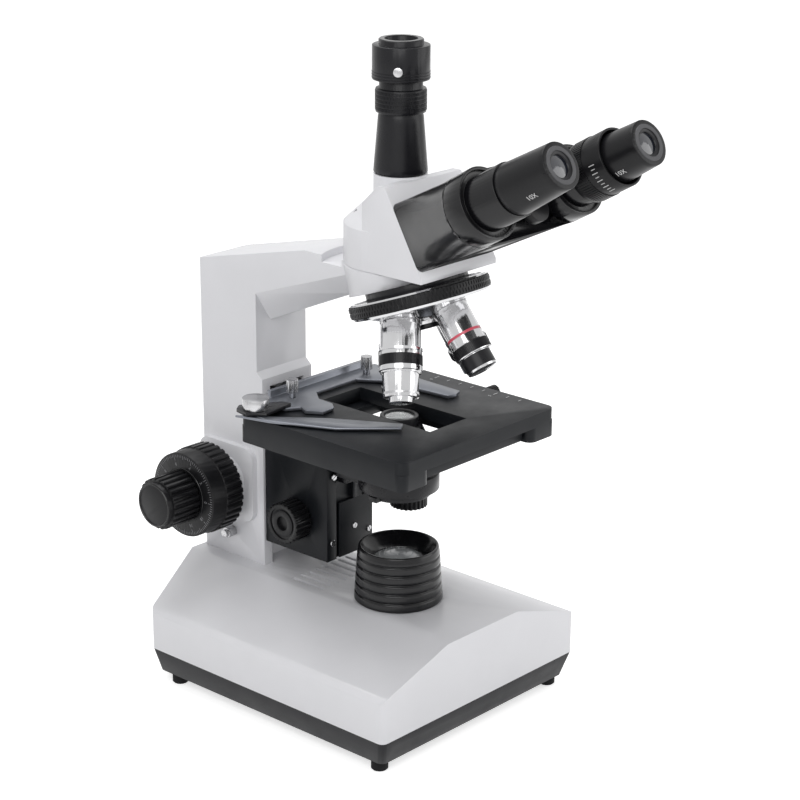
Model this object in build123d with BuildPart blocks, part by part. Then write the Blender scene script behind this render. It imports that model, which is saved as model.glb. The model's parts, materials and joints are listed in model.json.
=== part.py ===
# Trinocular laboratory microscope. Millimetres, +Z up, +X to the user's right,
# the user sits on the -Y side. The origin is the middle of the footprint on the table.
# Heights are above the table. Other places are measured from the optical axis,
# which stands AXIS_Y behind the middle of the footprint.
from build123d import *
import math
import os

os.makedirs("parts", exist_ok=True)

# Fits and clearances
SLIDE_FIT = 0.05            # radial clearance of shafts, slides and sleeves
AIR = 0.3                   # gap between parts that move past each other
WALL = 3.0                  # cast and moulded walls

# Base
BASE_WIDTH = 172.8
BASE_FRONT = -66.9
BASE_REAR = 147.5
SIDE_END = 125.6            # where the side walls turn in towards the column
DECK_WIDTH = 62.6           # flat top of the base
CORNER_R = 4.0
FOOT_R = 5.0
FOOT_H = 6.6
FOOT_X = 76.0
FOOT_FRONT = -55.0
FOOT_REAR = 112.0
TRAY_TOP = 22.0
TRAY_INSET = 4.4            # draft of the tray from rim to bottom
SHOULDER_Z = 48.4
DECK_Z = 66.0
POST_X = 58.0
POST_R = 5.0
POST_FRONT = -48.0
POST_REAR = 100.0
SCREW_R = 2.0
SCREW_HEAD_R = 3.6
SCREW_HEAD_H = 2.4
VENT_COUNT = 8
VENT_PITCH = 6.6
VENT_WIDTH = 2.6
VENT_FRONT = 40.0
VENT_REAR = 66.0

# Illuminator
COLLECTOR_R = 26.8
COLLECTOR_TOP = 99.7
COLLECTOR_RIM_R = 23.9
COLLECTOR_RIBS = 5
BOWL_R = 21.0
LENS_R = 15.0
LENS_SEAT_Z = 90.0
LENS_CROWN = 4.0
LENS_EDGE = 1.6
LAMP_R = 14.0
LAMP_TOP = 62.0

# Electrics
INLET_WIDTH = 27.4
INLET_HEIGHT = 20.0
INLET_Z = 43.0
INLET_DEPTH = 21.0
INLET_FLANGE = 2.0
SWITCH_Y = 58.0
DIAL_Y = 20.0
CONTROL_Z = 35.0
SWITCH_LENGTH = 19.0
SWITCH_HEIGHT = 13.0
DIAL_R = 9.0
DIAL_OUT = 3.0

# Arm and column
COLUMN_WIDTH = 42.4
COLUMN_FRONT = 92.5
UPPER_FRONT = 97.0
STEP_Z = 189.0
RECESS_WIDTH = 29.0
RECESS_TOP = 181.5
RECESS_DEPTH = 10.0
COLUMN_TOP_Z = 253.2
ARM_TOP = 274.4
ARM_FLAT_R = 56.0
ARM_LOWER_Z = 221.7
ARM_LOWER_SLOPE = 0.4325
BEVEL_Z = 240.4
BEVEL_SLOPE = 0.3445
BEVEL_IN = 12.1             # how far the underside bevel comes in at the column
BOSS_R = 32.6
BOSS_TOP = 274.8
BOSS_LOW_R = 29.2
BOSS_LOW_Z = 256.0
GROOVE_R = 47.0
GROOVE_Z = 270.0
ARM_BORE_R = 12.0
PAD_PROUD = 4.0
PAD_FRONT = 98.0
PAD_REAR = 145.0
PAD_LOW = 93.0
PAD_HIGH = 141.0
COLLAR_R = 18.0
COLLAR_END = 31.0

# Focus drive
STOP_Y = 120.0
STOP_Z = 82.0
STOP_STEM_R = 1.5
FOCUS_Y = 123.0
FOCUS_Z = 115.7
COARSE_R = 27.5
COARSE_FACE = 59.6
COARSE_RIBS = 36
FINE_R = 16.0
FINE_TIP_R = 13.8
FINE_END = 83.8
FINE_FLUTES = 24
TUBE_SHAFT_R = 6.0
FINE_SHAFT_R = 3.0
GEAR_MODULE = 0.8
PINION_TEETH = 15
GEAR_WIDTH = 8.0
RACK_LOW = 98.0
RACK_HIGH = 141.0
CAVITY_WIDTH = 16.0
CAVITY_LOW = 80.0
CAVITY_HIGH = 152.0
CAVITY_REAR = 133.0

# Stage carrier and condenser
CARRIER_WIDTH = 40.0
CARRIER_FRONT = 41.8
CARRIER_REAR = 92.0
CARRIER_LOW = 82.5
TONGUE_WIDTH = 18.0
TONGUE_FLARE = 2.5
TONGUE_DEPTH = 9.0
GUIDE_LOW = 80.0
GUIDE_HIGH = 179.0
GIB_WIDTH = 8.0
GIB_PROUD = 2.0
PLATE_LEFT = -9.0
PLATE_TOP = 118.0
SHOE_LOW = 131.0
SHOE_HIGH = 162.0
SHOE_THICK = 6.0
RIDGE_X = 5.5
RIDGE_WIDTH = 8.0
RIDGE_FLARE = 1.5
RIDGE_DEPTH = 3.0
CONDENSER_R = 18.0
CONDENSER_LOW = 133.0
CONDENSER_SHOULDER = 166.0
CONDENSER_TOP = 181.5
CONDENSER_TIP_R = 11.4
RING_R = 24.0
KNOB_Y = 64.0
KNOB_Z = 105.3
KNOB_R = 12.8
KNOB_START = 22.0
KNOB_END = 34.0

# Stage
STAGE_WIDTH = 134.4
STAGE_FRONT = -63.3
STAGE_REAR = 65.2
STAGE_TOP = 184.0
STAGE_PLATE = 8.3
SKIRT_LOW = 167.0
SKIRT_WIDTH = 22.0
STAGE_CORNER_R = 6.0
BED_WIDTH = 86.0
BED_LOW = 168.0
BED_HIGH = 175.0
BED_FRONT = -58.0
BED_REAR = 92.0
APERTURE_WIDTH = 32.0
APERTURE_FRONT = -38.0
APERTURE_REAR = 46.0
DRIVE_X = 58.0
DRIVE_Y = 44.0
DRIVE_LOW = 97.0
DRIVE_KNOB_R = 11.8
EDGE_CAP_Y = -10.0
EDGE_CAP_R = 4.0
EDGE_STEM_R = 1.5

# Slide holder
HOLDER_Z = 184.6
HOLDER_THICK = 2.0
BAR_Y = 60.0
CLIP_X = -64.0
CLIP_Y = 54.0
CLIP_PIN_R = 2.0

# Nosepiece and objectives
APEX_Z = 298.0
TILT = 20.0
RING_DROP = 44.9            # turret ring centre below the apex, along the turret axis
TURRET_R = 41.0
TURRET_BODY_R = 37.0
GRIP_LOW = -3.0
GRIP_HIGH = 4.0
GRIP_TEETH = 90
MOUNT_R = 30.0
MOUNT_LOW = 4.5
MOUNT_HIGH = 9.5
PIVOT_R = 6.0
SHOULDER = 60.5             # objective shoulder below the apex, along its own axis
SEAT_R = 12.0
RMS_R = 10.1
RMS_LENGTH = 5.0

# Head
HEAD_Z = 275.0
HEAD_R = 32.5
HEAD_HALF = 32.0
HEAD_FRONT = -44.5
DOVETAIL_R = 20.0
DOVETAIL_H = 4.0
SHOULDER_LOW = 298.0
SHOULDER_HIGH = 314.0
PHOTO_TUBE_R = 15.4
WHITE_TUBE_TOP = 326.0
FOLD_Z = 325.0

# Binocular tubes
INCLINE = 30.0
IPD = 75.0
EYE_Y = -143.7
EYE_Z = 358.6
EYEPIECE_R = 13.0
EYEPIECE_BASE_R = 14.7
EYEPIECE_LENGTH = 34.7
EYEPIECE_BARREL_R = 11.6
TUBE_R = 15.5
TUBE_FRONT = 35.0
CARRIER_A = 55.0
HOUSING_A = 68.0
HOUSING_END = 126.2
CUP_R = 20.5
DIOPTER_R = 17.0
DIOPTER_FRONT = 21.0
DIOPTER_REAR = 46.0
WHEEL_R = 8.0
WHEEL_B = -9.0
WHEEL_STEM_R = 2.0
SLOT_DEPTH = 12.0

# Photo port
CONE_Z = 327.0
CONE_TOP = 358.5
CONE_TOP_R = 12.9
KNURL_R = 14.3
KNURL_LOW = 361.0
KNURL_HIGH = 374.3
NECK_R = 12.3
PORT_LOW = 379.3
PORT_R = 16.3
PORT_HIGH = 398.5
C_MOUNT_R = 12.7
TOTAL_H = 401.6
PORT_BORE_R = 9.0

EYE_REACH = -EYE_Y + EYEPIECE_R * math.sin(math.radians(INCLINE))
REAR_REACH = max(BASE_REAR, FOCUS_Y + COARSE_R)
AXIS_Y = (EYE_REACH - REAR_REACH) / 2


# Placing helpers
def at(x, y, z):
    return (x, AXIS_Y + y, z)


def level(z, x=0, y=0):
    return Plane(origin=at(x, y, z))


def side(x, y=0, z=0):
    return Plane(origin=at(x, y, z), x_dir=(0, 1, 0), z_dir=(1, 0, 0))


def front(y):
    return Plane(origin=at(0, y, 0), x_dir=(1, 0, 0), z_dir=(0, -1, 0))


def mirror_pair(x):
    return (-x, x)


def turn(plane, points, mode=Mode.ADD):
    with BuildSketch(Plane(origin=plane.origin, x_dir=plane.x_dir, z_dir=-plane.y_dir)) as profile:
        with BuildLine():
            Polyline(*points, close=True)
        make_face()
    revolve(profile.sketch, axis=Axis(plane.origin, plane.z_dir), mode=mode)


def block(x, y, z, mode=Mode.ADD):
    with BuildSketch(level(z[0])) as base:
        with Locations(((x[0] + x[1]) / 2, (y[0] + y[1]) / 2)):
            Rectangle(x[1] - x[0], y[1] - y[0])
    extrude(base.sketch, amount=z[1] - z[0], mode=mode)


def prism(plane, points, depth, mode=Mode.ADD):
    with BuildSketch(plane) as face:
        with BuildLine():
            Polyline(*points, close=True)
        make_face()
    extrude(face.sketch, amount=depth, mode=mode)


def rod(plane, radius, length, mode=Mode.ADD):
    with BuildSketch(plane) as face:
        Circle(radius)
    extrude(face.sketch, amount=length, mode=mode)


def fluted(plane, radius, depth, count, length, mode=Mode.ADD):
    pitch = 360 / count
    points = []
    for i in range(count):
        for share, r in ((0.0, radius), (0.5, radius), (0.62, radius - depth), (0.88, radius - depth)):
            angle = math.radians((i + share) * pitch)
            points.append((r * math.cos(angle), r * math.sin(angle)))
    prism(plane, points, length, mode)


def save(builder, node):
    builder.part.label = node
    export_step(builder.part, f"parts/{node}.step")


# Base
def plan_points(inset=0.0):
    half = BASE_WIDTH / 2 - inset
    deck = DECK_WIDTH / 2 - inset / 2
    return [(-half, BASE_FRONT + inset), (half, BASE_FRONT + inset), (half, SIDE_END - inset / 2),
            (deck, BASE_REAR - inset), (-deck, BASE_REAR - inset), (-half, SIDE_END - inset / 2)]


def plan_sketch(z, inset=0.0):
    with BuildSketch(level(z)) as outline:
        with BuildLine():
            Polyline(*plan_points(inset), close=True)
        make_face()
        fillet(outline.vertices(), CORNER_R)
    return outline.sketch


FOOT_PLACES = [(x, y) for x in mirror_pair(FOOT_X) for y in (FOOT_FRONT, FOOT_REAR)]
POST_PLACES = [(x, y) for x in mirror_pair(POST_X) for y in (POST_FRONT, POST_REAR)]
STEM_R = 2.0


def base_tray():
    floor = FOOT_H + WALL
    with BuildPart() as tray:
        loft([plan_sketch(FOOT_H, TRAY_INSET), plan_sketch(TRAY_TOP)])
        loft([plan_sketch(floor, TRAY_INSET + WALL), plan_sketch(TRAY_TOP, WALL)], mode=Mode.SUBTRACT)
        for x, y in FOOT_PLACES:
            rod(level(FOOT_H, x, y), STEM_R + SLIDE_FIT, WALL, Mode.SUBTRACT)
        for x, y in POST_PLACES:
            rod(level(FOOT_H, x, y), SCREW_R + SLIDE_FIT, WALL, Mode.SUBTRACT)
            rod(level(FOOT_H, x, y), SCREW_HEAD_R + AIR, SCREW_HEAD_H, Mode.SUBTRACT)
    save(tray, "base_tray")


def rubber_feet():
    with BuildPart() as feet:
        for x, y in FOOT_PLACES:
            turn(level(0, x, y), [(0, 0), (FOOT_R - 0.8, 0), (FOOT_R, 0.8), (FOOT_R, FOOT_H),
                                  (STEM_R, FOOT_H), (STEM_R, FOOT_H + WALL), (0, FOOT_H + WALL)])
    save(feet, "rubber_feet")


def casing_profile(inset):
    half = BASE_WIDTH / 2 - inset
    deck = DECK_WIDTH / 2 - inset / 3
    return [(-half, TRAY_TOP), (-half, SHOULDER_Z - inset / 3), (-deck, DECK_Z - inset),
            (deck, DECK_Z - inset), (half, SHOULDER_Z - inset / 3), (half, TRAY_TOP)]


def base_casing():
    length = BASE_REAR - BASE_FRONT
    with BuildPart() as casing:
        prism(front(BASE_FRONT), casing_profile(0), -length)
        fillet(casing.edges().filter_by(Axis.Y).group_by(Axis.Z)[-2], 6)
        extrude(plan_sketch(TRAY_TOP), amount=DECK_Z, mode=Mode.INTERSECT)
        with BuildPart(mode=Mode.PRIVATE) as hollow:
            prism(front(BASE_FRONT + WALL), casing_profile(WALL), -(length - 2 * WALL))
            extrude(plan_sketch(TRAY_TOP, WALL), amount=DECK_Z, mode=Mode.INTERSECT)
        add(hollow.part, mode=Mode.SUBTRACT)
        roof_slope = (DECK_Z - SHOULDER_Z) / (BASE_WIDTH / 2 - DECK_WIDTH / 2)
        post_top = DECK_Z - (POST_X + POST_R - DECK_WIDTH / 2) * roof_slope - AIR
        for x, y in POST_PLACES:
            rod(level(FOOT_H + WALL, x, y), POST_R, post_top - FOOT_H - WALL)
            rod(level(FOOT_H + WALL, x, y), SCREW_R - 0.05, 12, Mode.SUBTRACT)
        rod(level(DECK_Z - 2 * WALL), LAMP_R + AIR, 3 * WALL, Mode.SUBTRACT)
        start = -(VENT_COUNT - 1) * VENT_PITCH / 2
        for i in range(VENT_COUNT):
            x = start + i * VENT_PITCH
            block((x - VENT_WIDTH / 2, x + VENT_WIDTH / 2), (VENT_FRONT, VENT_REAR),
                  (DECK_Z - 2 * WALL, DECK_Z + 1), Mode.SUBTRACT)
        block(mirror_pair(INLET_WIDTH / 2), (BASE_REAR - 2 * WALL, BASE_REAR + 1),
              (INLET_Z - INLET_HEIGHT / 2, INLET_Z + INLET_HEIGHT / 2), Mode.SUBTRACT)
        wall = BASE_WIDTH / 2
        block((wall - 2 * WALL, wall + 1), (SWITCH_Y - SWITCH_LENGTH / 2, SWITCH_Y + SWITCH_LENGTH / 2),
              (CONTROL_Z - SWITCH_HEIGHT / 2, CONTROL_Z + SWITCH_HEIGHT / 2), Mode.SUBTRACT)
        rod(side(wall - 2 * WALL, DIAL_Y, CONTROL_Z), STEM_R + 1 + SLIDE_FIT, 3 * WALL, Mode.SUBTRACT)
        rod(side(wall - 1.5, DIAL_Y, CONTROL_Z), DIAL_R + AIR, 3, Mode.SUBTRACT)
    save(casing, "base_casing")


def base_screws():
    with BuildPart() as screws:
        for x, y in POST_PLACES:
            rod(level(FOOT_H + 0.2, x, y), SCREW_HEAD_R, SCREW_HEAD_H - 0.2)
            rod(level(FOOT_H + 0.2, x, y), SCREW_R - 0.05, 13)
    save(screws, "base_screws")


def collector_housing():
    ribs = []
    height = COLLECTOR_TOP - DECK_Z
    pitch = (height - 5) / COLLECTOR_RIBS
    slope = (COLLECTOR_R - COLLECTOR_RIM_R - 0.6) / height
    for i in range(COLLECTOR_RIBS):
        low = DECK_Z + i * pitch
        r = COLLECTOR_R - slope * (low - DECK_Z)
        ribs += [(r - 0.9, low), (r, low + 0.8), (r - slope * pitch, low + pitch - 1.0),
                 (r - slope * pitch - 0.9, low + pitch - 0.4)]
    profile = [(LAMP_R + AIR, DECK_Z)] + ribs
    profile += [(COLLECTOR_RIM_R + 1, COLLECTOR_TOP - 4.6), (COLLECTOR_RIM_R, COLLECTOR_TOP),
                (COLLECTOR_RIM_R - 1.6, COLLECTOR_TOP), (LENS_R, LENS_SEAT_Z + 2), (LENS_R, LENS_SEAT_Z),
                (LENS_R - 2, LENS_SEAT_Z), (LENS_R - 2, DECK_Z + 6), (LAMP_R + AIR, DECK_Z + 6)]
    with BuildPart() as housing:
        turn(level(0), profile)
    save(housing, "collector_housing")


def collector_lens():
    radius = LENS_R - SLIDE_FIT
    sphere_r = (radius ** 2 + LENS_CROWN ** 2) / (2 * LENS_CROWN)
    crown_z = LENS_SEAT_Z + LENS_EDGE + LENS_CROWN
    with BuildPart() as lens:
        rod(level(LENS_SEAT_Z), radius, LENS_EDGE + LENS_CROWN)
        with Locations(at(0, 0, crown_z - sphere_r)):
            Sphere(sphere_r, mode=Mode.INTERSECT)
    save(lens, "collector_lens")


def lamp_module():
    floor = FOOT_H + WALL
    with BuildPart() as lamp:
        rod(level(floor), LAMP_R, LAMP_TOP - floor)
        for i in range(5):
            turn(level(floor + 6 + i * 6), [(LAMP_R - 4, 0), (LAMP_R + 1, 0), (LAMP_R + 1, 3), (LAMP_R - 4, 3)],
                 Mode.SUBTRACT)
        rod(level(LAMP_TOP), 4, 2.4)
    save(lamp, "lamp_module")


def power_board():
    floor = FOOT_H + WALL
    with BuildPart() as board:
        block((-26, 26), (72, 132), (floor + 5, floor + 6.6))
        block((-18, 0), (84, 104), (floor + 6.6, floor + 20))
        for y in (96, 114):
            rod(level(floor + 6.6, 14, y), 6, 15)
        for x in mirror_pair(22):
            for y in (76, 128):
                rod(level(floor, x, y), 2.6, 5)
    save(board, "power_board")


def mains_inlet():
    low = INLET_Z - INLET_HEIGHT / 2
    high = INLET_Z + INLET_HEIGHT / 2
    face = BASE_REAR - INLET_FLANGE / 2
    with BuildPart() as inlet:
        block(mirror_pair(INLET_WIDTH / 2 - 0.1), (BASE_REAR - INLET_DEPTH, face), (low + 0.1, high - 0.1))
        block(mirror_pair(INLET_WIDTH / 2 - 2.5), (BASE_REAR - INLET_DEPTH + 4, face + 1),
              (low + 2.5, high - 2.5), Mode.SUBTRACT)
        for x, z in ((-7, 0), (7, 0), (0, 4)):
            block((x - 1, x + 1), (BASE_REAR - INLET_DEPTH + 3, BASE_REAR - 5),
                  (INLET_Z + z - 2.5, INLET_Z + z + 1))
    save(inlet, "mains_inlet")


def rocker_switch():
    wall = BASE_WIDTH / 2
    length = SWITCH_LENGTH / 2 - 3 * AIR
    with BuildPart() as rocker:
        with BuildSketch(Plane(origin=at(0, SWITCH_Y, CONTROL_Z - SWITCH_HEIGHT / 2 + AIR))) as face:
            with BuildLine():
                Polyline((wall - 4, -length + 2), (wall - 0.6, -length), (wall - 1.6, 0),
                         (wall - 0.2, length), (wall - 4, length - 2), close=True)
            make_face()
        extrude(face.sketch, amount=SWITCH_HEIGHT - 2 * AIR)
    save(rocker, "rocker_switch")


def brightness_dial():
    wall = BASE_WIDTH / 2
    with BuildPart() as dial:
        fluted(side(wall - 1.2, DIAL_Y, CONTROL_Z), DIAL_R, 0.5, 24, 1.2)
        rod(side(wall - 12, DIAL_Y, CONTROL_Z), STEM_R + 1, 11)
    save(dial, "brightness_dial")


# Arm and column
def turret_point(height):
    angle = math.radians(TILT)
    return at(0, (height - RING_DROP) * math.sin(angle), APEX_Z + (height - RING_DROP) * math.cos(angle))


def turret_plane(height):
    angle = math.radians(TILT)
    return Plane(origin=turret_point(height), x_dir=(1, 0, 0), z_dir=(0, math.sin(angle), math.cos(angle)))


def arm():
    half = COLUMN_WIDTH / 2
    top_slope = (ARM_TOP - COLUMN_TOP_Z) / (BASE_REAR - ARM_FLAT_R)
    lower_at_axis = ARM_LOWER_Z + UPPER_FRONT * ARM_LOWER_SLOPE
    back = UPPER_FRONT + 5
    with BuildPart() as casting:
        prism(side(-half), [(back, ARM_LOWER_Z - 5 * ARM_LOWER_SLOPE), (0, lower_at_axis), (0, ARM_TOP),
                            (ARM_FLAT_R, ARM_TOP), (back, ARM_TOP - (back - ARM_FLAT_R) * top_slope)],
              COLUMN_WIDTH)
        drop = BEVEL_Z - ARM_LOWER_Z
        for sign in (-1, 1):
            normal = Vector(sign * drop, -BEVEL_IN * BEVEL_SLOPE, -BEVEL_IN)
            cutter = Plane(origin=at(sign * half, UPPER_FRONT, BEVEL_Z), z_dir=normal)
            split(bisect_by=cutter, keep=Keep.BOTTOM)
        prism(side(-half), [(BASE_REAR, DECK_Z), (BASE_REAR, COLUMN_TOP_Z),
                            (UPPER_FRONT, COLUMN_TOP_Z + (BASE_REAR - UPPER_FRONT) * top_slope),
                            (UPPER_FRONT, STEP_Z + 2), (COLUMN_FRONT, STEP_Z - 2), (COLUMN_FRONT, DECK_Z)],
              COLUMN_WIDTH)
        rear = casting.edges().filter_by(Axis.Z).sort_by(Axis.Y)[-2:]
        fillet(rear, 4)
        turn(level(0), [(0, BOSS_LOW_Z - 8), (BOSS_LOW_R, BOSS_LOW_Z - 8), (BOSS_LOW_R, BOSS_LOW_Z),
                        (BOSS_R, BOSS_TOP - 1), (BOSS_R - 0.8, BOSS_TOP), (0, BOSS_TOP)])
        turn(level(0), [(BOSS_R + 1, GROOVE_Z), (GROOVE_R, GROOVE_Z), (GROOVE_R, BOSS_TOP + 1),
                        (BOSS_R + 1, BOSS_TOP + 1)], Mode.SUBTRACT)
        rod(turret_plane(MOUNT_HIGH), TURRET_R + 8, -40, Mode.SUBTRACT)
        rod(level(BOSS_LOW_Z - 20), ARM_BORE_R, 60, Mode.SUBTRACT)
        rod(level(HEAD_Z - DOVETAIL_H - AIR), DOVETAIL_R + SLIDE_FIT, 20, Mode.SUBTRACT)
        block(mirror_pair(RECESS_WIDTH / 2), (COLUMN_FRONT - 1, COLUMN_FRONT + RECESS_DEPTH),
              (DECK_Z - 1, RECESS_TOP), Mode.SUBTRACT)
        block(mirror_pair(CAVITY_WIDTH / 2), (COLUMN_FRONT, CAVITY_REAR), (CAVITY_LOW, CAVITY_HIGH),
              Mode.SUBTRACT)
        for sign in (-1, 1):
            with BuildSketch(side(sign * half)) as pad:
                with Locations(((PAD_FRONT + PAD_REAR) / 2, (PAD_LOW + PAD_HIGH) / 2)):
                    RectangleRounded(PAD_REAR - PAD_FRONT, PAD_HIGH - PAD_LOW, 8)
            extrude(pad.sketch, amount=sign * PAD_PROUD)
            rod(side(sign * half, FOCUS_Y, FOCUS_Z), COLLAR_R, sign * (COLLAR_END - half))
        rod(side(-COLLAR_END - 1, FOCUS_Y, FOCUS_Z), TUBE_SHAFT_R + SLIDE_FIT, 2 * COLLAR_END + 2, Mode.SUBTRACT)
        rod(side(-half - 1, STOP_Y, STOP_Z), STOP_STEM_R + SLIDE_FIT, 6, Mode.SUBTRACT)
    save(casting, "arm")


def tongue_half(y, clear=0.0):
    share = (y - CARRIER_REAR) / TONGUE_DEPTH
    return TONGUE_WIDTH / 2 - TONGUE_FLARE * (1 - share) + clear


def dovetail_guide():
    outer = RECESS_WIDTH / 2
    low = COLUMN_FRONT + 0.5
    high = COLUMN_FRONT + RECESS_DEPTH
    clear = 1.5 * SLIDE_FIT
    with BuildPart() as guide:
        for sign in (-1, 1):
            prism(level(GUIDE_LOW), [(sign * tongue_half(low, clear), low), (sign * outer, low),
                                     (sign * outer, high), (sign * tongue_half(high, clear), high)],
                  GUIDE_HIGH - GUIDE_LOW)
    save(guide, "dovetail_guide")


def stop_screw():
    half = COLUMN_WIDTH / 2
    with BuildPart() as screw:
        rod(side(-half - AIR, STOP_Y, STOP_Z), 3.2, -6)
        rod(side(-half - AIR - 6, STOP_Y, STOP_Z), 2.4, -2)
        rod(side(-half - AIR, STOP_Y, STOP_Z), STOP_STEM_R, 4)
    save(screw, "stop_screw")


# Focus drive
def coarse_knobs():
    start = COLLAR_END + AIR
    with BuildPart() as knobs:
        for sign in (-1, 1):
            plane = side(sign * start, FOCUS_Y, FOCUS_Z)
            rod(plane, COLLAR_R - 2, sign * 4)
            fluted(side(sign * (start + 4), FOCUS_Y, FOCUS_Z), COARSE_R, 0.8, COARSE_RIBS, sign * 13)
            rod(side(sign * (start + 17), FOCUS_Y, FOCUS_Z), COARSE_R - 1.0, sign * (COARSE_FACE - start - 17))
            rod(side(sign * (start - 1), FOCUS_Y, FOCUS_Z), TUBE_SHAFT_R, sign * 40, Mode.SUBTRACT)
    save(knobs, "coarse_knobs")


def pinion_points(backlash):
    pitch_r = GEAR_MODULE * PINION_TEETH / 2
    points = []
    for i in range(PINION_TEETH):
        for share, r in ((-0.24, pitch_r - 0.8), (-0.10, pitch_r + 0.5), (0.10, pitch_r + 0.5), (0.24, pitch_r - 0.8)):
            angle = (i + share) * 2 * math.pi / PINION_TEETH
            points.append((r * math.cos(angle), r * math.sin(angle)))
    return points


def coarse_shaft():
    half = COARSE_FACE + 0.5
    with BuildPart() as shaft:
        for sign in (-1, 1):
            rod(side(sign * GEAR_WIDTH / 2, FOCUS_Y, FOCUS_Z), TUBE_SHAFT_R, sign * (half - GEAR_WIDTH / 2))
        prism(side(-GEAR_WIDTH / 2, FOCUS_Y, FOCUS_Z), pinion_points(0), GEAR_WIDTH)
        rod(side(-half, FOCUS_Y, FOCUS_Z), FINE_SHAFT_R + SLIDE_FIT, 2 * half, Mode.SUBTRACT)
    save(shaft, "coarse_shaft")


def fine_knobs():
    start = COARSE_FACE + 1.2
    with BuildPart() as knobs:
        for sign in (-1, 1):
            plane = side(sign * start, FOCUS_Y, FOCUS_Z)
            fluted(plane, FINE_R, 1.0, FINE_FLUTES, sign * (FINE_END - start - 3))
            rod(side(sign * (FINE_END - 3), FOCUS_Y, FOCUS_Z), FINE_TIP_R, sign * 3)
            rod(plane, FINE_SHAFT_R, sign * (FINE_END - start - 4), Mode.SUBTRACT)
    save(knobs, "fine_knobs")


def fine_shaft():
    with BuildPart() as shaft:
        rod(side(-FINE_END + 4, FOCUS_Y, FOCUS_Z), FINE_SHAFT_R, 2 * (FINE_END - 4))
    save(shaft, "fine_shaft")


# Stage carrier
def stage_carrier():
    half = CARRIER_WIDTH / 2
    back = CARRIER_REAR + TONGUE_DEPTH
    neck = tongue_half(CARRIER_REAR)
    wide = tongue_half(back)
    with BuildPart() as carrier:
        block(mirror_pair(half), (CARRIER_FRONT, CARRIER_REAR), (CARRIER_LOW, BED_LOW))
        prism(level(RACK_LOW - 6), [(-neck, CARRIER_REAR), (neck, CARRIER_REAR), (wide, back), (-wide, back)],
              BED_LOW - 2 - RACK_LOW)
        block((-half, -half + GIB_WIDTH), (CARRIER_FRONT - GIB_PROUD, CARRIER_FRONT), (CARRIER_LOW, BED_LOW - 4))
        prism(level(PLATE_TOP + 0.5), [(RIDGE_X - RIDGE_WIDTH / 2 + RIDGE_FLARE, CARRIER_FRONT),
                                       (RIDGE_X - RIDGE_WIDTH / 2, CARRIER_FRONT - RIDGE_DEPTH),
                                       (RIDGE_X + RIDGE_WIDTH / 2, CARRIER_FRONT - RIDGE_DEPTH),
                                       (RIDGE_X + RIDGE_WIDTH / 2 - RIDGE_FLARE, CARRIER_FRONT)],
              BED_LOW - 2 - PLATE_TOP)
        rod(side(-half - 1, KNOB_Y, KNOB_Z), 3 + SLIDE_FIT, CARRIER_WIDTH - 6, Mode.SUBTRACT)
    save(carrier, "stage_carrier")


def focus_rack():
    pitch = math.pi * GEAR_MODULE
    back = CARRIER_REAR + TONGUE_DEPTH
    line = FOCUS_Y - GEAR_MODULE * PINION_TEETH / 2
    count = int((RACK_HIGH - RACK_LOW) / pitch)
    points = [(back, RACK_LOW)]
    centre = FOCUS_Z
    first = centre - pitch * int((centre - RACK_LOW) / pitch)
    for i in range(count):
        z = first + i * pitch
        points += [(line - 0.8, z - 0.24 * pitch), (line + 0.5, z - 0.10 * pitch),
                   (line + 0.5, z + 0.10 * pitch), (line - 0.8, z + 0.24 * pitch)]
    points += [(line - 0.8, RACK_HIGH), (back, RACK_HIGH)]
    points.insert(1, (line - 0.8, RACK_LOW))
    with BuildPart() as rack:
        prism(side(-GEAR_WIDTH / 2 + 0.5), points, GEAR_WIDTH - 1)
    save(rack, "focus_rack")


def carrier_plate():
    half = CARRIER_WIDTH / 2
    with BuildPart() as plate:
        block((PLATE_LEFT, half), (CARRIER_FRONT - GIB_PROUD, CARRIER_FRONT), (CARRIER_LOW, PLATE_TOP))
    save(plate, "carrier_plate")


def stage_bed():
    half = BED_WIDTH / 2
    with BuildPart() as bed:
        block(mirror_pair(half), (BED_FRONT, STAGE_REAR + 4), (BED_LOW, BED_HIGH))
        block(mirror_pair(CARRIER_WIDTH / 2), (STAGE_REAR, BED_REAR - 0.2), (BED_LOW, BED_HIGH))
        block(mirror_pair(APERTURE_WIDTH / 2 + 9), (APERTURE_FRONT + 2, CARRIER_FRONT - 4),
              (BED_LOW - 1, BED_HIGH + 1), Mode.SUBTRACT)
    save(bed, "stage_bed")


# Condenser
def condenser_carriage():
    z_ring = CONDENSER_LOW + 4
    with BuildPart() as carriage:
        block((PLATE_LEFT + 0.5, CARRIER_WIDTH / 2 - 0.5), (CARRIER_FRONT - AIR - SHOE_THICK, CARRIER_FRONT - AIR),
              (SHOE_LOW, SHOE_HIGH))
        block((-14, 14), (8, CARRIER_FRONT - AIR - 2), (z_ring, z_ring + 10))
        rod(level(z_ring), RING_R, 10)
        rod(level(z_ring - 1), CONDENSER_R + SLIDE_FIT, 12, Mode.SUBTRACT)
        clear = SLIDE_FIT
        prism(level(SHOE_LOW - 1), [(RIDGE_X - RIDGE_WIDTH / 2 + RIDGE_FLARE - clear, CARRIER_FRONT),
                                    (RIDGE_X - RIDGE_WIDTH / 2 - clear, CARRIER_FRONT - RIDGE_DEPTH - clear),
                                    (RIDGE_X + RIDGE_WIDTH / 2 + clear, CARRIER_FRONT - RIDGE_DEPTH - clear),
                                    (RIDGE_X + RIDGE_WIDTH / 2 - RIDGE_FLARE + clear, CARRIER_FRONT)],
              SHOE_HIGH - SHOE_LOW + 2, Mode.SUBTRACT)
    save(carriage, "condenser_carriage")


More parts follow.
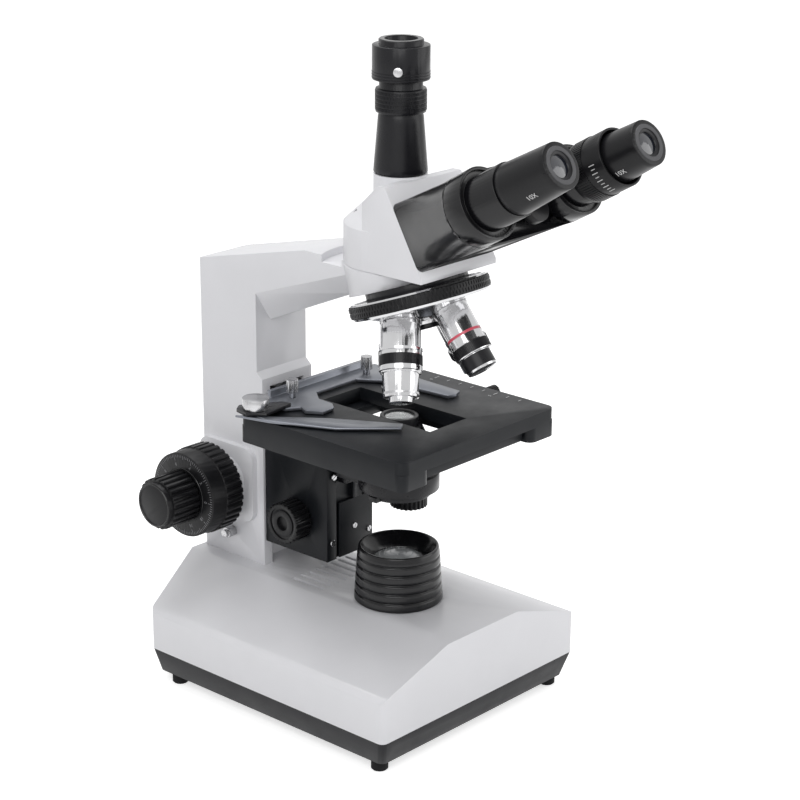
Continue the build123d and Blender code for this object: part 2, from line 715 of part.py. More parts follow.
def condenser_barrel():
    with BuildPart() as barrel:
        turn(level(0), [(13, CONDENSER_LOW + 4), (CONDENSER_R, CONDENSER_LOW + 4), (CONDENSER_R, CONDENSER_SHOULDER),
                        (CONDENSER_TIP_R + 2, CONDENSER_TOP - 6), (CONDENSER_TIP_R, CONDENSER_TOP - 6),
                        (CONDENSER_TIP_R, CONDENSER_TOP), (9, CONDENSER_TOP), (9, CONDENSER_TOP - 4), (13, CONDENSER_TOP - 10)])
        block((-30, -8), (-9.5, 9.5), (CONDENSER_LOW + 17, CONDENSER_LOW + 20), Mode.SUBTRACT)
    save(barrel, "condenser_barrel")


def condenser_lens():
    with BuildPart() as lens:
        turn(level(0), [(0, CONDENSER_TOP - 4), (8.9, CONDENSER_TOP - 4), (8.9, CONDENSER_TOP - 1), (6, CONDENSER_TOP - 0.3),
                        (0, CONDENSER_TOP)])
    save(lens, "condenser_lens")


def iris_ring():
    z = CONDENSER_LOW + 17.4
    with BuildPart() as iris:
        rod(level(z), 12.6, 2.2)
        rod(level(z), 5, 2.2, Mode.SUBTRACT)
        block((-27, -11), (-1, 1), (z, z + 2.2))
        rod(level(z - 1, -27, 0), 2, 4.2)
    save(iris, "iris_ring")


def filter_holder():
    z = CONDENSER_LOW
    with BuildPart() as holder:
        rod(level(z, 0, 0), 19, 3)
        rod(level(z + 1, 0, 0), 16, 3, Mode.SUBTRACT)
        rod(level(z - 1, 0, 0), 14.5, 4, Mode.SUBTRACT)
        block((15.5, 22), (-2.5, 2.5), (z, z + 3))
        rod(level(z, 22, 0), 3, 3.7)
        block((-23, -18.5), (-3, 3), (z, z + 3))
    save(holder, "filter_holder")


def condenser_knob():
    with BuildPart() as knob:
        fluted(side(-KNOB_START, KNOB_Y, KNOB_Z), KNOB_R, 0.9, 24, -(KNOB_END - KNOB_START))
        turn(Plane(origin=at(-KNOB_END, KNOB_Y, KNOB_Z), x_dir=(0, 1, 0), z_dir=(-1, 0, 0)),
             [(8.5, -0.8), (10, -0.8), (10, 1), (8.5, 1)], Mode.SUBTRACT)
        rod(side(-KNOB_END - 1, KNOB_Y, KNOB_Z), 4.5, 3.5, Mode.SUBTRACT)
        rod(side(-KNOB_START - 4, KNOB_Y, KNOB_Z), 3, KNOB_START + 4 + 12)
    save(knob, "condenser_knob")


# Stage
def stage_plate():
    half = STAGE_WIDTH / 2
    low = STAGE_TOP - STAGE_PLATE
    with BuildPart() as stage:
        with BuildSketch(level(low)) as outline:
            with Locations((0, (STAGE_FRONT + STAGE_REAR) / 2)):
                RectangleRounded(STAGE_WIDTH, STAGE_REAR - STAGE_FRONT, STAGE_CORNER_R)
        extrude(outline.sketch, amount=STAGE_PLATE)
        for sign in (-1, 1):
            inner = BED_WIDTH / 2 + 1
            x = sorted((sign * inner, sign * half))
            with BuildSketch(level(SKIRT_LOW)) as skirt:
                with Locations(((x[0] + x[1]) / 2, (STAGE_FRONT + STAGE_REAR) / 2)):
                    RectangleRounded(x[1] - x[0], STAGE_REAR - STAGE_FRONT, STAGE_CORNER_R - 1)
            extrude(skirt.sketch, amount=low - SKIRT_LOW + 1)
        block(mirror_pair(APERTURE_WIDTH / 2), (APERTURE_FRONT, APERTURE_REAR), (low - 1, STAGE_TOP + 1),
              Mode.SUBTRACT)
        rod(side(half + 1, EDGE_CAP_Y, STAGE_TOP - STAGE_PLATE / 2), EDGE_STEM_R + SLIDE_FIT, -10, Mode.SUBTRACT)
    save(stage, "stage_plate")


def drive_column():
    with BuildPart() as column:
        rod(level(DRIVE_LOW + 4, DRIVE_X, DRIVE_Y), 3, SKIRT_LOW - DRIVE_LOW - 4)
        turn(level(0, DRIVE_X, DRIVE_Y), [(3, SKIRT_LOW - 22), (6, SKIRT_LOW - 22), (7.5, SKIRT_LOW - 8), (7.5, SKIRT_LOW),
                                          (3, SKIRT_LOW)])
    save(column, "drive_column")


def drive_knob(node, low, high, radius):
    with BuildPart() as knob:
        fluted(level(low, DRIVE_X, DRIVE_Y), radius, 0.7, 24, high - low)
        rod(level(low - 1, DRIVE_X, DRIVE_Y), 3 + SLIDE_FIT, high - low + 2, Mode.SUBTRACT)
    save(knob, node)


def edge_cap():
    half = STAGE_WIDTH / 2
    z = STAGE_TOP - STAGE_PLATE / 2
    with BuildPart() as cap:
        fluted(side(half + AIR, EDGE_CAP_Y, z), EDGE_CAP_R, 0.5, 20, 8)
        rod(side(half + AIR, EDGE_CAP_Y, z), EDGE_STEM_R, -8)
    save(cap, "edge_cap")


# Slide holder
def slide_holder():
    z = HOLDER_Z
    with BuildPart() as holder:
        block((-50, 50), (BAR_Y - 6, BAR_Y + 6), (z, z + HOLDER_THICK))
        prism(level(z), [(-50, 60), (-48, 46), (-40, 41), (-43, 35), (-37, 26), (-27, 27), (-23, 32),
                         (-22, 44), (-14, 54)], HOLDER_THICK)
        prism(level(z), [(20, 54), (30, 40), (34, -8), (40, -9.5), (46, -7), (47, 24), (50, 54)], HOLDER_THICK)
        block((-40, 45), (BAR_Y + 6, BAR_Y + 9), (z, z + 6))
    save(holder, "slide_holder")


def thumbscrew(node, x, y):
    z = HOLDER_Z + HOLDER_THICK
    with BuildPart() as screw:
        rod(level(z + 0.1, x, y), 2.2, 3)
        fluted(level(z + 3.1, x, y), 3.6, 0.4, 16, 8)
    save(screw, node)


def clip_bracket():
    z = HOLDER_Z + HOLDER_THICK
    with BuildPart() as bracket:
        prism(level(z), [(-72, 62), (-66, 66), (-44, 52), (-43, 46), (-66, 43), (-74, 52)], 2)
        rod(level(z - 1, CLIP_X, CLIP_Y), CLIP_PIN_R + SLIDE_FIT, 4, Mode.SUBTRACT)
    save(bracket, "clip_bracket")


def clip_finger():
    z = HOLDER_Z + 0.4
    with BuildPart() as finger:
        prism(level(z), [(-76, 59), (-68, 48), (-43, 16), (-21, -22), (-27, -26), (-53, 1), (-70, 37)], 1.4)
        rod(level(z, CLIP_X, CLIP_Y), 7, 1.4)
        rod(level(z - 1, CLIP_X, CLIP_Y), CLIP_PIN_R, 4, Mode.SUBTRACT)
    save(finger, "clip_finger")


def clip_knob():
    z = HOLDER_Z + HOLDER_THICK + 2
    with BuildPart() as knob:
        rod(level(z + 0.1, CLIP_X, CLIP_Y), 7.9, 6.5)
        rod(level(HOLDER_Z + 0.4, CLIP_X, CLIP_Y), CLIP_PIN_R, 5)
    save(knob, "clip_knob")


# Nosepiece
def objective_plane(turns, distance):
    tilt = math.radians(TILT)
    spin = math.radians(turns * 90)
    down = Vector(0, -math.sin(tilt) * math.cos(tilt), -math.cos(tilt) ** 2)
    across = Vector(math.sin(spin), math.cos(spin) * math.cos(tilt), -math.cos(spin) * math.sin(tilt))
    direction = (down + across * math.sin(tilt)).normalized()
    return Plane(origin=Vector(*at(0, 0, APEX_Z)) + direction * distance, z_dir=direction)


def nosepiece_mount():
    with BuildPart() as mount:
        rod(turret_plane(MOUNT_LOW), MOUNT_R, MOUNT_HIGH - MOUNT_LOW)
        rod(level(BOSS_LOW_Z - 20), PORT_BORE_R, 60, Mode.SUBTRACT)
        rod(turret_plane(-18), PIVOT_R, 18 + MOUNT_LOW)
        rod(turret_plane(-18), PIVOT_R + 3, 3 - AIR)
    save(mount, "nosepiece_mount")


def nosepiece_turret():
    tilt = math.tan(math.radians(TILT))
    seat_r = SHOULDER * math.sin(math.radians(TILT))
    seat_h = RING_DROP - SHOULDER * math.cos(math.radians(TILT))

    def cone(r):
        return seat_h + 2 + (r - seat_r) * tilt

    with BuildPart() as turret:
        turn(turret_plane(0), [(PIVOT_R + SLIDE_FIT, MOUNT_LOW - AIR), (TURRET_BODY_R, MOUNT_LOW - AIR),
                               (TURRET_BODY_R, GRIP_LOW - 1), (TURRET_BODY_R + 2.5, GRIP_LOW - 1),
                               (TURRET_BODY_R, cone(TURRET_BODY_R)), (12, cone(12)), (12, -15),
                               (PIVOT_R + SLIDE_FIT, -15)])
        for k in range(4):
            rod(objective_plane(k, SHOULDER - 14), SEAT_R, 14)
            rod(objective_plane(k, SHOULDER - 30), RMS_R, 40, Mode.SUBTRACT)
        split(bisect_by=turret_plane(MOUNT_LOW - AIR), keep=Keep.BOTTOM)
        rod(turret_plane(-40), PIVOT_R + SLIDE_FIT, 60, Mode.SUBTRACT)
        rod(turret_plane(-40), PIVOT_R + 3 + AIR, 25, Mode.SUBTRACT)
    save(turret, "nosepiece_turret")


def turret_grip():
    with BuildPart() as grip:
        fluted(turret_plane(GRIP_LOW), TURRET_R, 0.6, GRIP_TEETH, GRIP_HIGH - GRIP_LOW)
        rod(turret_plane(GRIP_LOW - 1), TURRET_BODY_R, GRIP_HIGH - GRIP_LOW + 2, Mode.SUBTRACT)
    save(grip, "turret_grip")


def objective(node, turns, profile):
    with BuildPart() as lens:
        points = [(0, -RMS_LENGTH), (RMS_R - 0.05, -RMS_LENGTH), (RMS_R - 0.05, 0)] + profile
        turn(objective_plane(turns, SHOULDER), points)
    save(lens, node)


# Head
def tube_plane(distance, x=0):
    angle = math.radians(INCLINE)
    axis = Vector(0, -math.cos(angle), math.sin(angle))
    return Plane(origin=Vector(*at(x, EYE_Y, EYE_Z)) - axis * distance, x_dir=(1, 0, 0), z_dir=axis)


def incline_z(y):
    foot = tube_plane(HOUSING_END).origin
    return foot.Z + (y + AXIS_Y - foot.Y) / math.tan(math.radians(INCLINE))


def incline_y(z):
    foot = tube_plane(HOUSING_END).origin
    return foot.Y - AXIS_Y + (z - foot.Z) * math.tan(math.radians(INCLINE))


def head_shell():
    with BuildPart() as head:
        prism(side(-HEAD_HALF), [(HEAD_FRONT, HEAD_Z), (HEAD_FRONT, incline_z(HEAD_FRONT)),
                                 (incline_y(FOLD_Z), FOLD_Z), (incline_y(FOLD_Z) + 6, FOLD_Z),
                                 (0, SHOULDER_HIGH), (0, HEAD_Z)], 2 * HEAD_HALF)
        turn(level(0), [(0, HEAD_Z - DOVETAIL_H), (DOVETAIL_R, HEAD_Z - DOVETAIL_H), (DOVETAIL_R, HEAD_Z), (HEAD_R, HEAD_Z),
                        (HEAD_R, SHOULDER_LOW), (PHOTO_TUBE_R, SHOULDER_HIGH), (PHOTO_TUBE_R, WHITE_TUBE_TOP),
                        (0, WHITE_TUBE_TOP)])
        rod(level(HEAD_Z - DOVETAIL_H - 1), PORT_BORE_R, 80, Mode.SUBTRACT)
        block((-20, 20), (-22, 18), (HEAD_Z + 4, HEAD_Z + 30), Mode.SUBTRACT)
    save(head, "head_shell")


def prism_block():
    with BuildPart() as glass:
        block((-16, 16), (-18, 14), (HEAD_Z + 4, HEAD_Z + 28))
    save(glass, "prism_block")


def binocular_housing():
    with BuildPart() as housing:
        with BuildSketch(tube_plane(HOUSING_END)) as rear:
            with Locations((0, 4)):
                RectangleRounded(2 * HEAD_HALF, 40.6, 4)
        with BuildSketch(tube_plane(HOUSING_A)) as face:
            SlotCenterToCenter(IPD, 2 * CUP_R)
        loft([rear.sketch, face.sketch])
        with BuildSketch(tube_plane(HOUSING_A)) as slot:
            SlotCenterToCenter(IPD - 6, 24)
        extrude(slot.sketch, amount=-SLOT_DEPTH, mode=Mode.SUBTRACT)
        with BuildSketch(tube_plane(HOUSING_A)) as hole:
            with Locations((0, WHEEL_B)):
                Circle(WHEEL_STEM_R + SLIDE_FIT)
        extrude(hole.sketch, amount=-SLOT_DEPTH - 6, mode=Mode.SUBTRACT)
    save(housing, "binocular_housing")


def eyepiece_carrier(node, sign):
    x = sign * IPD / 2
    with BuildPart() as carrier:
        rod(tube_plane(HOUSING_A - AIR, x), CUP_R, HOUSING_A - AIR - CARRIER_A)
        rod(tube_plane(CARRIER_A + 2, x), CUP_R - 2, 4, Mode.SUBTRACT)
        rod(tube_plane(HOUSING_A + 6, x - sign * 6), 11, 8)
        rod(tube_plane(HOUSING_A - 1, x), TUBE_R, HOUSING_A - 1 - TUBE_FRONT)
        rod(tube_plane(HOUSING_A + 8, x), EYEPIECE_BARREL_R + SLIDE_FIT, HOUSING_A + 8, Mode.SUBTRACT)
    save(carrier, node)


def ipd_wheel():
    with BuildPart() as wheel:
        with BuildSketch(tube_plane(62)) as disc:
            with Locations((0, WHEEL_B)):
                Circle(WHEEL_R)
        extrude(disc.sketch, amount=6)
        with BuildSketch(tube_plane(HOUSING_A + SLOT_DEPTH + 5)) as stem:
            with Locations((0, WHEEL_B)):
                Circle(WHEEL_STEM_R)
        extrude(stem.sketch, amount=HOUSING_A + SLOT_DEPTH + 5 - 61)
    save(wheel, "ipd_wheel")


def diopter_ring():
    plane = tube_plane(0, IPD / 2)
    with BuildPart() as ring:
        turn(plane, [(TUBE_R + SLIDE_FIT, -DIOPTER_FRONT), (DIOPTER_R, -DIOPTER_FRONT), (DIOPTER_R, -DIOPTER_REAR),
                     (TUBE_R + SLIDE_FIT, -DIOPTER_REAR)])
    save(ring, "diopter_ring")


def eyepiece(node, lens_node, sign):
    plane = tube_plane(0, sign * IPD / 2)
    with BuildPart() as body:
        turn(plane, [(8, 0), (EYEPIECE_R, 0), (EYEPIECE_BASE_R, -EYEPIECE_LENGTH), (EYEPIECE_BARREL_R, -EYEPIECE_LENGTH),
                     (EYEPIECE_BARREL_R, -EYEPIECE_LENGTH - 30), (9, -EYEPIECE_LENGTH - 30), (9, -6), (8, -6)])
    save(body, node)
    with BuildPart() as lens:
        turn(plane, [(0, -1), (4, -1.4), (7.95, -2.2), (7.95, -5), (0, -5)])
    save(lens, lens_node)


def photo_tube():
    with BuildPart() as tube:
        turn(level(0), [(PORT_BORE_R, WHITE_TUBE_TOP), (PHOTO_TUBE_R - 1, WHITE_TUBE_TOP), (PHOTO_TUBE_R - 1, CONE_Z),
                        (PHOTO_TUBE_R + 0.1, CONE_Z), (CONE_TOP_R, CONE_TOP), (CONE_TOP_R - 0.6, KNURL_LOW),
                        (KNURL_R, KNURL_LOW), (KNURL_R, KNURL_HIGH), (NECK_R, KNURL_HIGH), (NECK_R, PORT_LOW - AIR),
                        (PORT_BORE_R + 2, PORT_LOW - AIR), (PORT_BORE_R + 2, KNURL_LOW), (PORT_BORE_R, KNURL_LOW)])
    save(tube, "photo_tube")


def camera_adapter():
    inner = PORT_BORE_R + 2 - SLIDE_FIT
    with BuildPart() as adapter:
        turn(level(0), [(inner - 1.5, KNURL_LOW + 2), (inner, KNURL_LOW + 2), (inner, PORT_LOW), (PORT_R, PORT_LOW),
                        (PORT_R, PORT_HIGH), (C_MOUNT_R, PORT_HIGH), (C_MOUNT_R, TOTAL_H), (inner - 1.5, TOTAL_H)])
    save(adapter, "camera_adapter")


def adapter_screw():
    with BuildPart() as screw:
        rod(Plane(origin=at(-(PORT_R + 0.1) * 0.8, -(PORT_R + 0.1) * 0.6, 386), z_dir=(-0.8, -0.6, 0)), 2.6, 3)
    save(screw, "adapter_screw")


base_tray()
rubber_feet()
base_casing()
base_screws()
collector_housing()
collector_lens()
lamp_module()
power_board()
mains_inlet()
rocker_switch()
brightness_dial()
arm()
dovetail_guide()
stop_screw()
coarse_knobs()
coarse_shaft()
fine_knobs()
fine_shaft()
stage_carrier()
focus_rack()
carrier_plate()
stage_bed()
condenser_carriage()
condenser_barrel()
condenser_lens()
iris_ring()
filter_holder()
condenser_knob()
stage_plate()
drive_column()
drive_knob("y_knob", 118, 130, DRIVE_KNOB_R + 1)
drive_knob("x_knob", DRIVE_LOW, 117.5, DRIVE_KNOB_R)
edge_cap()
slide_holder()
thumbscrew("left_thumbscrew", -31, 57)
thumbscrew("right_thumbscrew", 32, 56)
clip_bracket()
clip_finger()
clip_knob()
nosepiece_mount()
nosepiece_turret()
turret_grip()
objective("objective_100x", 3, [(11.5, 0), (11.5, 14.2), (12, 14.2), (12, 24.5), (11.6, 27.9), (10.1, 27.9), (10.1, 41.6),
                                (7, 41.6), (7, 44.6), (0, 44.6)])
objective("objective_4x", 2, [(10.1, 0), (10.1, 21), (10.8, 21), (10.8, 28), (8.8, 28), (8.8, 37.5), (0, 37.5)])
objective("objective_10x", 1, [(11.2, 0), (11.2, 22), (12, 22), (12, 28), (10, 30), (10, 38), (7, 40), (0, 40)])
objective("objective_40x", 0, [(11.5, 0), (11.5, 14.2), (12, 14.2), (12, 24.5), (11.6, 27.9), (10.1, 27.9), (10.1, 41.6),
                               (7, 41.6), (7, 44.4), (0, 44.4)])
head_shell()
prism_block()
binocular_housing()
eyepiece_carrier("left_carrier", -1)
eyepiece_carrier("right_carrier", 1)
ipd_wheel()
diopter_ring()
eyepiece("left_eyepiece", "left_eye_lens", -1)
eyepiece("right_eyepiece", "right_eye_lens", 1)
photo_tube()
camera_adapter()
adapter_screw()
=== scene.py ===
import json
import math

import bmesh
import bpy
from mathutils import Matrix, Vector


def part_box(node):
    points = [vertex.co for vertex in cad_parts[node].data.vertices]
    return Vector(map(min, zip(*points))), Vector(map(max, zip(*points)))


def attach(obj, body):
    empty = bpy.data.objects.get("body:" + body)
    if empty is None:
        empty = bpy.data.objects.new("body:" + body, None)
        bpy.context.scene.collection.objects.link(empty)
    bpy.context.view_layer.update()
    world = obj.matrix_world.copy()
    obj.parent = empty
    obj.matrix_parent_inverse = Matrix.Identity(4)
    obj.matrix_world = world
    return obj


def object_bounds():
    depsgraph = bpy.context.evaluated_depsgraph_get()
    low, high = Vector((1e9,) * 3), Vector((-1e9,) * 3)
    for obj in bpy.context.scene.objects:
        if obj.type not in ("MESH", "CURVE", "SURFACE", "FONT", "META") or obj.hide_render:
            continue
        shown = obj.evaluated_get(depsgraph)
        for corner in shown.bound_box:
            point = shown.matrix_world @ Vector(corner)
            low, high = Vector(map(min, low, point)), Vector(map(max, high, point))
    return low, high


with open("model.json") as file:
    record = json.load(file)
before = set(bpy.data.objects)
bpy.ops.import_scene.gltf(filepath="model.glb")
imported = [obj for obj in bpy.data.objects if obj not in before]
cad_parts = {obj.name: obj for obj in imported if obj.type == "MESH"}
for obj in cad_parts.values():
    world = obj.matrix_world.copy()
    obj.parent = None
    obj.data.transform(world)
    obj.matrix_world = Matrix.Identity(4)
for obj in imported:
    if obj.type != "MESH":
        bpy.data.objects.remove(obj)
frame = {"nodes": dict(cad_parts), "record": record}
cad_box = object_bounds()
MM = 0.001

# The optical axis stands over the middle of the lamp lens
lens_low, lens_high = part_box("collector_lens")
AXIS_Y = (lens_low.y + lens_high.y) / 2


def at(x, y, z):
    return Vector((x * MM, AXIS_Y + y * MM, z * MM))


# Camera
VIEW_AZIMUTH = math.radians(47.92)
VIEW_ELEVATION = math.radians(18.70)
VIEW_ROLL = math.radians(0.31)
VIEW_DISTANCE = 1.320
VIEW_LENS = 101.9
VIEW_TARGET = at(0, -0.5, 190.5)


def make_camera():
    forward = Vector((math.sin(VIEW_AZIMUTH) * math.cos(VIEW_ELEVATION),
                      math.cos(VIEW_AZIMUTH) * math.cos(VIEW_ELEVATION), -math.sin(VIEW_ELEVATION)))
    level_right = forward.cross(Vector((0, 0, 1))).normalized()
    level_up = level_right.cross(forward)
    right = level_right * math.cos(VIEW_ROLL) + level_up * math.sin(VIEW_ROLL)
    up = right.cross(forward)
    camera = bpy.data.objects.new("camera", bpy.data.cameras.new("camera"))
    bpy.context.collection.objects.link(camera)
    camera.matrix_world = Matrix((
        (right.x, up.x, -forward.x, 0), (right.y, up.y, -forward.y, 0),
        (right.z, up.z, -forward.z, 0), (0, 0, 0, 1)))
    camera.location = VIEW_TARGET - forward * VIEW_DISTANCE
    camera.data.lens = VIEW_LENS
    camera.data.sensor_width = 36
    camera.data.clip_start = 0.05
    camera.data.clip_end = 30
    bpy.context.scene.camera = camera


# Materials
CLOUD_SCALE = 28
WEAR_SCALE = 60
METAL_CLOUD_SCALE = 45
SMEAR_SCALE = 120
GRAIN_BUMP = 0.35
TURNING_BUMP = 0.25
COAT_ROUGHNESS = 0.12
METAL_SHADE = 0.86
GLASS_IOR = 1.5


def link(tree, a, b):
    tree.links.new(a, b)


def shader(name):
    material = bpy.data.materials.new(name)
    material.use_nodes = True
    return material, material.node_tree, material.node_tree.nodes["Principled BSDF"]


def coordinates(tree, scale):
    place = tree.nodes.new("ShaderNodeTexCoord")
    mapping = tree.nodes.new("ShaderNodeMapping")
    mapping.inputs["Scale"].default_value = scale if isinstance(scale, tuple) else (scale,) * 3
    link(tree, place.outputs["Object"], mapping.inputs["Vector"])
    return mapping.outputs["Vector"]


def noise(tree, scale, detail=4.0, rough=0.6):
    texture = tree.nodes.new("ShaderNodeTexNoise")
    texture.inputs["Scale"].default_value = 1.0
    texture.inputs["Detail"].default_value = detail
    texture.inputs["Roughness"].default_value = rough
    link(tree, coordinates(tree, scale), texture.inputs["Vector"])
    return texture.outputs["Fac"]


def remap(tree, value, low, high, start=0.3, end=0.7):
    node = tree.nodes.new("ShaderNodeMapRange")
    node.inputs["From Min"].default_value = start
    node.inputs["From Max"].default_value = end
    node.inputs["To Min"].default_value = low
    node.inputs["To Max"].default_value = high
    link(tree, value, node.inputs["Value"])
    return node.outputs["Result"]


def tint(tree, factor, first, second):
    mix = tree.nodes.new("ShaderNodeMix")
    mix.data_type = "RGBA"
    mix.inputs["A"].default_value = (*first, 1)
    mix.inputs["B"].default_value = (*second, 1)
    link(tree, factor, mix.inputs["Factor"])
    return mix.outputs["Result"]


def bump(tree, height, strength, distance):
    node = tree.nodes.new("ShaderNodeBump")
    node.inputs["Strength"].default_value = strength
    node.inputs["Distance"].default_value = distance
    link(tree, height, node.inputs["Height"])
    return node.outputs["Normal"]


def coated(name, color, shift, roughness, spread, grain, depth, metallic=0.0, coat=0.0, sheen=0.5):
    material, tree, surface = shader(name)
    broad = noise(tree, CLOUD_SCALE, 3)
    fine = noise(tree, grain, 5, 0.7)
    darker = tuple(max(0.0, c - shift) for c in color)
    link(tree, tint(tree, remap(tree, broad, 0, 1), color, darker), surface.inputs["Base Color"])
    worn = remap(tree, noise(tree, WEAR_SCALE, 6), roughness - spread, roughness + spread)
    link(tree, worn, surface.inputs["Roughness"])
    link(tree, bump(tree, fine, GRAIN_BUMP, depth), surface.inputs["Normal"])
    surface.inputs["Metallic"].default_value = metallic
    surface.inputs["Specular IOR Level"].default_value = sheen
    surface.inputs["Coat Weight"].default_value = coat
    surface.inputs["Coat Roughness"].default_value = COAT_ROUGHNESS
    return material


def turned_metal(name, color, roughness, ring_scale=(0, 0, 2200), depth=0.00002, spread=0.06):
    material, tree, surface = shader(name)
    rings = noise(tree, ring_scale, 2, 0.5)
    cloud = noise(tree, METAL_CLOUD_SCALE, 4)
    dark = tuple(c * METAL_SHADE for c in color)
    link(tree, tint(tree, remap(tree, cloud, 0, 1), color, dark), surface.inputs["Base Color"])
    link(tree, remap(tree, rings, roughness - spread, roughness + spread), surface.inputs["Roughness"])
    link(tree, bump(tree, rings, TURNING_BUMP, depth), surface.inputs["Normal"])
    surface.inputs["Metallic"].default_value = 1.0
    return material


def clear_glass(name, color, roughness=0.02):
    material, tree, surface = shader(name)
    surface.inputs["Base Color"].default_value = (*color, 1)
    smear = remap(tree, noise(tree, SMEAR_SCALE, 4), roughness, roughness + 0.03)
    link(tree, smear, surface.inputs["Roughness"])
    surface.inputs["Transmission Weight"].default_value = 0.85
    surface.inputs["IOR"].default_value = GLASS_IOR
    surface.inputs["Coat Weight"].default_value = 0.5
    return material


WHITE = coated("white_enamel", (0.72, 0.72, 0.745), 0.02, 0.36, 0.05, 2600, 0.00004, coat=0.15)
TRAY = coated("charcoal_paint", (0.016, 0.016, 0.018), 0.004, 0.42, 0.06, 2600, 0.00005, sheen=0.22)
BLACK_METAL = coated("black_anodised", (0.010, 0.010, 0.012),
                     0.003, 0.30, 0.06, 5200, 0.00003, sheen=0.25)
STAGE_BLACK = coated("stage_black", (0.009, 0.010, 0.012), 0.003, 0.42, 0.05, 6000, 0.00003, sheen=0.2)
BLACK_PLASTIC = coated("black_moulding", (0.008, 0.008, 0.009),
                       0.002, 0.32, 0.06, 3800, 0.00004, sheen=0.22)
GLOSS_BLACK = coated("black_gloss", (0.006, 0.006, 0.007), 0.002, 0.20, 0.04, 1600, 0.00003, sheen=0.35)
RUBBER = coated("foot_rubber", (0.012, 0.012, 0.013), 0.003, 0.72, 0.08, 3000, 0.00008, sheen=0.15)
CHROME = turned_metal("polished_chrome", (0.62, 0.62, 0.63), 0.12, spread=0.04)
STEEL = turned_metal("turned_steel", (0.50, 0.50, 0.51), 0.24)
ALUMINIUM = turned_metal("turned_aluminium", (0.48, 0.49, 0.51), 0.33)
GREY = coated("grey_anodised", (0.20, 0.21, 0.235), 0.02, 0.32, 0.05, 5200, 0.00003, metallic=0.7)
BRASS = turned_metal("gear_brass", (0.60, 0.44, 0.20), 0.30)
GLASS = clear_glass("lens_glass", (0.93, 0.96, 0.97))
EYE_GLASS = coated("coated_eye_lens", (0.012, 0.014, 0.022), 0.004, 0.06, 0.02, 300, 0.00001, coat=1.0)
FROSTED = coated("lamp_lens", (0.36, 0.37, 0.38), 0.16, 0.16, 0.08, 900, 0.0002, coat=0.6)
BOARD = coated("circuit_board", (0.02, 0.11, 0.05), 0.02, 0.4, 0.08, 900, 0.0001)
INK = coated("white_marking", (0.62, 0.62, 0.62), 0.05, 0.55, 0.05, 3000, 0.00002)
FAINT_INK = coated("faint_marking", (0.20, 0.20, 0.21), 0.03, 0.5, 0.05, 3000, 0.00002)
RED = coated("red_band", (0.62, 0.10, 0.14), 0.05, 0.35, 0.05, 3000, 0.00002)
GREY_RING = coated("grey_ring", (0.07, 0.07, 0.075), 0.01, 0.4, 0.06, 3000, 0.00002, sheen=0.3)

SLOT_MATERIALS = {
    "white_paint": WHITE, "tray_black": TRAY, "black_metal": BLACK_METAL, "black_plastic": BLACK_PLASTIC,
    "rubber": RUBBER, "chrome": CHROME, "steel": STEEL, "aluminium": ALUMINIUM, "grey_anodised": GREY,
    "brass": BRASS, "glass": GLASS, "frosted": FROSTED, "board": BOARD,
}
NODE_MATERIALS = {"stage_plate": STAGE_BLACK, "stage_bed": STAGE_BLACK, "stage_carrier": STAGE_BLACK,
                  "carrier_plate": STAGE_BLACK, "left_eye_lens": EYE_GLASS, "right_eye_lens": EYE_GLASS,
                  "collector_housing": GLOSS_BLACK, "left_carrier": GLOSS_BLACK, "right_carrier": GLOSS_BLACK,
                  "binocular_housing": GLOSS_BLACK, "objective_10x": STEEL}


def dress_node(node, slot):
    piece = frame["nodes"][node]
    piece.data.materials.clear()
    piece.data.materials.append(NODE_MATERIALS.get(node, SLOT_MATERIALS[slot]))


EDGE_WIDTH = 0.35
EDGE_ANGLE = math.radians(32)
WELD_DISTANCE = 1e-6


def soften(node):
    piece = frame["nodes"][node]
    for polygon in piece.data.polygons:
        polygon.use_smooth = True
    weld = piece.modifiers.new("weld", "WELD")
    weld.merge_threshold = WELD_DISTANCE
    bevel = piece.modifiers.new("edge", "BEVEL")
    bevel.width = EDGE_WIDTH * MM
    bevel.segments = 2
    bevel.limit_method = "ANGLE"
    bevel.angle_limit = EDGE_ANGLE
    bevel.harden_normals = True


# Studio
WORLD_FILL = 0.42
KEY_POWER = 7.0
FILL_POWER = 4.0
TOP_POWER = 6.0
FLOOR_GLOW = 0.62
FLOOR_HALF = 3.0
LAMP_SIZE = (0.9, 0.9)
TOP_LAMP_SIZE = (0.8, 0.8)


def area_light(name, place, target, size, power):
    lamp = bpy.data.objects.new(name, bpy.data.lights.new(name, "AREA"))
    bpy.context.collection.objects.link(lamp)
    lamp.data.shape = "RECTANGLE"
    lamp.data.size = size[0]
    lamp.data.size_y = size[1]
    lamp.data.energy = power
    lamp.location = place
    lamp.rotation_euler = (Vector(target) - Vector(place)).to_track_quat("-Z", "Y").to_euler()


def seen_ray(tree):
    """1 for rays that reach the eye straight, by a mirror or through glass."""
    path = tree.nodes.new("ShaderNodeLightPath")
    total = path.outputs["Is Camera Ray"]
    for kind in ("Is Glossy Ray", "Is Transmission Ray"):
        plus = tree.nodes.new("ShaderNodeMath")
        plus.operation = "ADD"
        plus.use_clamp = True
        link(tree, total, plus.inputs[0])
        link(tree, path.outputs[kind], plus.inputs[1])
        total = plus.outputs["Value"]
    return total


